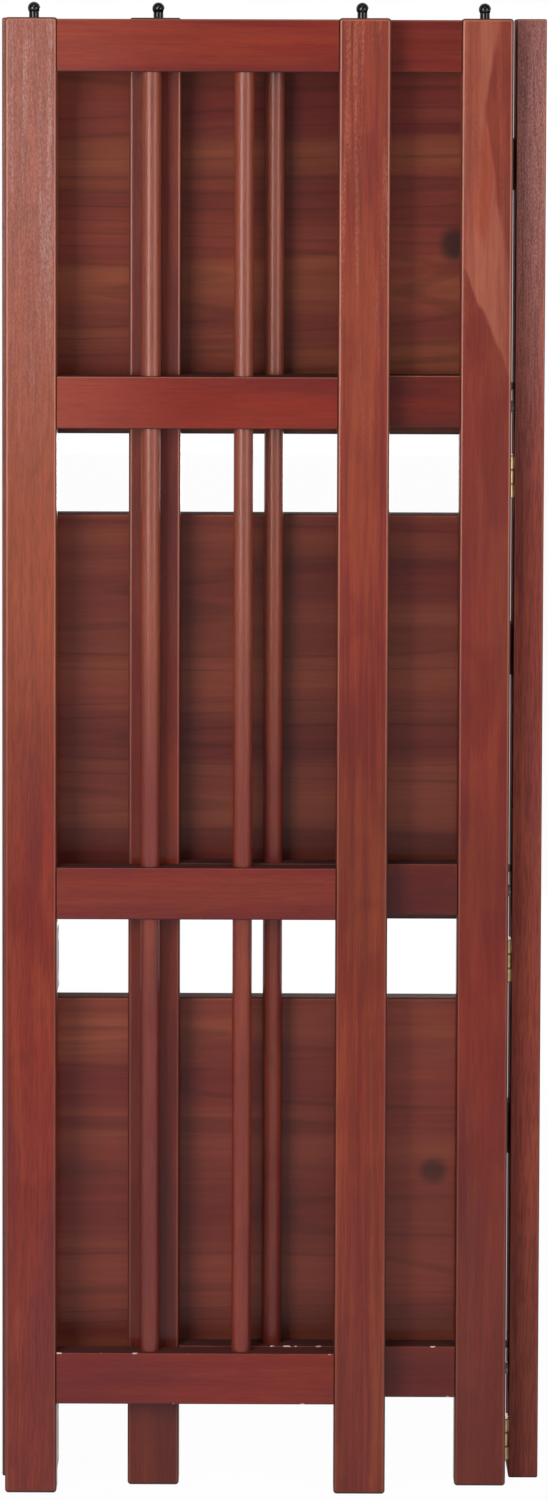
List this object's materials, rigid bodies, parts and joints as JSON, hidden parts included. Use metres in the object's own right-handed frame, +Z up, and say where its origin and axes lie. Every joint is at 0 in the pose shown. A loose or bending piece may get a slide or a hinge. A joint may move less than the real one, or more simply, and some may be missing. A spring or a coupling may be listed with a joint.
{
  "type": "folding bookcase",
  "caption": "Slatted wooden bookcase folded flat: a back frame with upright shelves between its stiles, and hinged side frames of rails and spindles folded one over the other in front.",
  "frame": {"origin": "middle of the folded case on the floor: midway between the outer faces of the back stiles, and midway between the front of the left side frame and the back of the back frame", "axes": "+X along the width to the right as seen from the front, +Y from the front to the back, +Z up"},
  "size_m": [0.355, 0.0836, 0.975],
  "materials": {
    "frame_wood": "red-brown stain, satin lacquer",
    "shelf_wood": "edge-glued boards, dark red-brown stain, satin lacquer",
    "brass": "brushed",
    "steel": "plain",
    "black_pin": "glossy"
  },
  "bodies": {
    "back_frame": {"hinge_block_screws": "steel", "left_back_leaf_screws": "brass", "left_back_stile": "frame_wood", "left_hinge_pins": "brass", "left_lower_back_leaf": "brass", "left_middle_back_leaf": "brass", "left_upper_back_leaf": "brass", "lower_back_rail": "frame_wood", "lower_hinge_block": "frame_wood", "lower_shelf": "shelf_wood", "middle_back_rail": "frame_wood", "middle_hinge_block": "frame_wood", "middle_shelf": "shelf_wood", "right_back_leaf_screws": "brass", "right_back_stile": "frame_wood", "right_bottom_rail": "frame_wood", "right_frame_leaf_screws": "brass", "right_front_spindle_lower": "frame_wood", "right_front_spindle_middle": "frame_wood", "right_front_spindle_upper": "frame_wood", "right_front_stile": "frame_wood", "right_hinge_pins": "brass", "right_locating_pins": "black_pin", "right_lower_back_leaf": "brass", "right_lower_frame_leaf": "brass", "right_lower_rail": "frame_wood", "right_middle_back_leaf": "brass", "right_middle_frame_leaf": "brass", "right_rear_spindle_lower": "frame_wood", "right_rear_spindle_middle": "frame_wood", "right_rear_spindle_upper": "frame_wood", "right_rear_stile": "frame_wood", "right_top_rail": "frame_wood", "right_upper_back_leaf": "brass", "right_upper_frame_leaf": "brass", "right_upper_rail": "frame_wood", "shelf_pivot_pins": "steel", "shelf_pivot_spacers": "steel", "shelf_stop_pins": "steel", "upper_back_rail": "frame_wood", "upper_hinge_block": "frame_wood", "upper_shelf": "shelf_wood"},
    "left_side_frame": {"left_bottom_rail": "frame_wood", "left_frame_leaf_screws": "brass", "left_front_spindle_lower": "frame_wood", "left_front_spindle_middle": "frame_wood", "left_front_spindle_upper": "frame_wood", "left_front_stile": "frame_wood", "left_locating_pins": "black_pin", "left_lower_frame_leaf": "brass", "left_lower_rail": "frame_wood", "left_middle_frame_leaf": "brass", "left_rear_spindle_lower": "frame_wood", "left_rear_spindle_middle": "frame_wood", "left_rear_spindle_upper": "frame_wood", "left_rear_stile": "frame_wood", "left_top_rail": "frame_wood", "left_upper_frame_leaf": "brass", "left_upper_rail": "frame_wood"}
  },
  "joints": [
    {"name": "left_side_frame_hinge", "type": "hinge", "parent": "back_frame", "child": "left_side_frame", "pos_m": [-0.1557, -0.0207, 0], "axis": [0, 0, -1], "range_deg": [0, 90]}
  ]
}
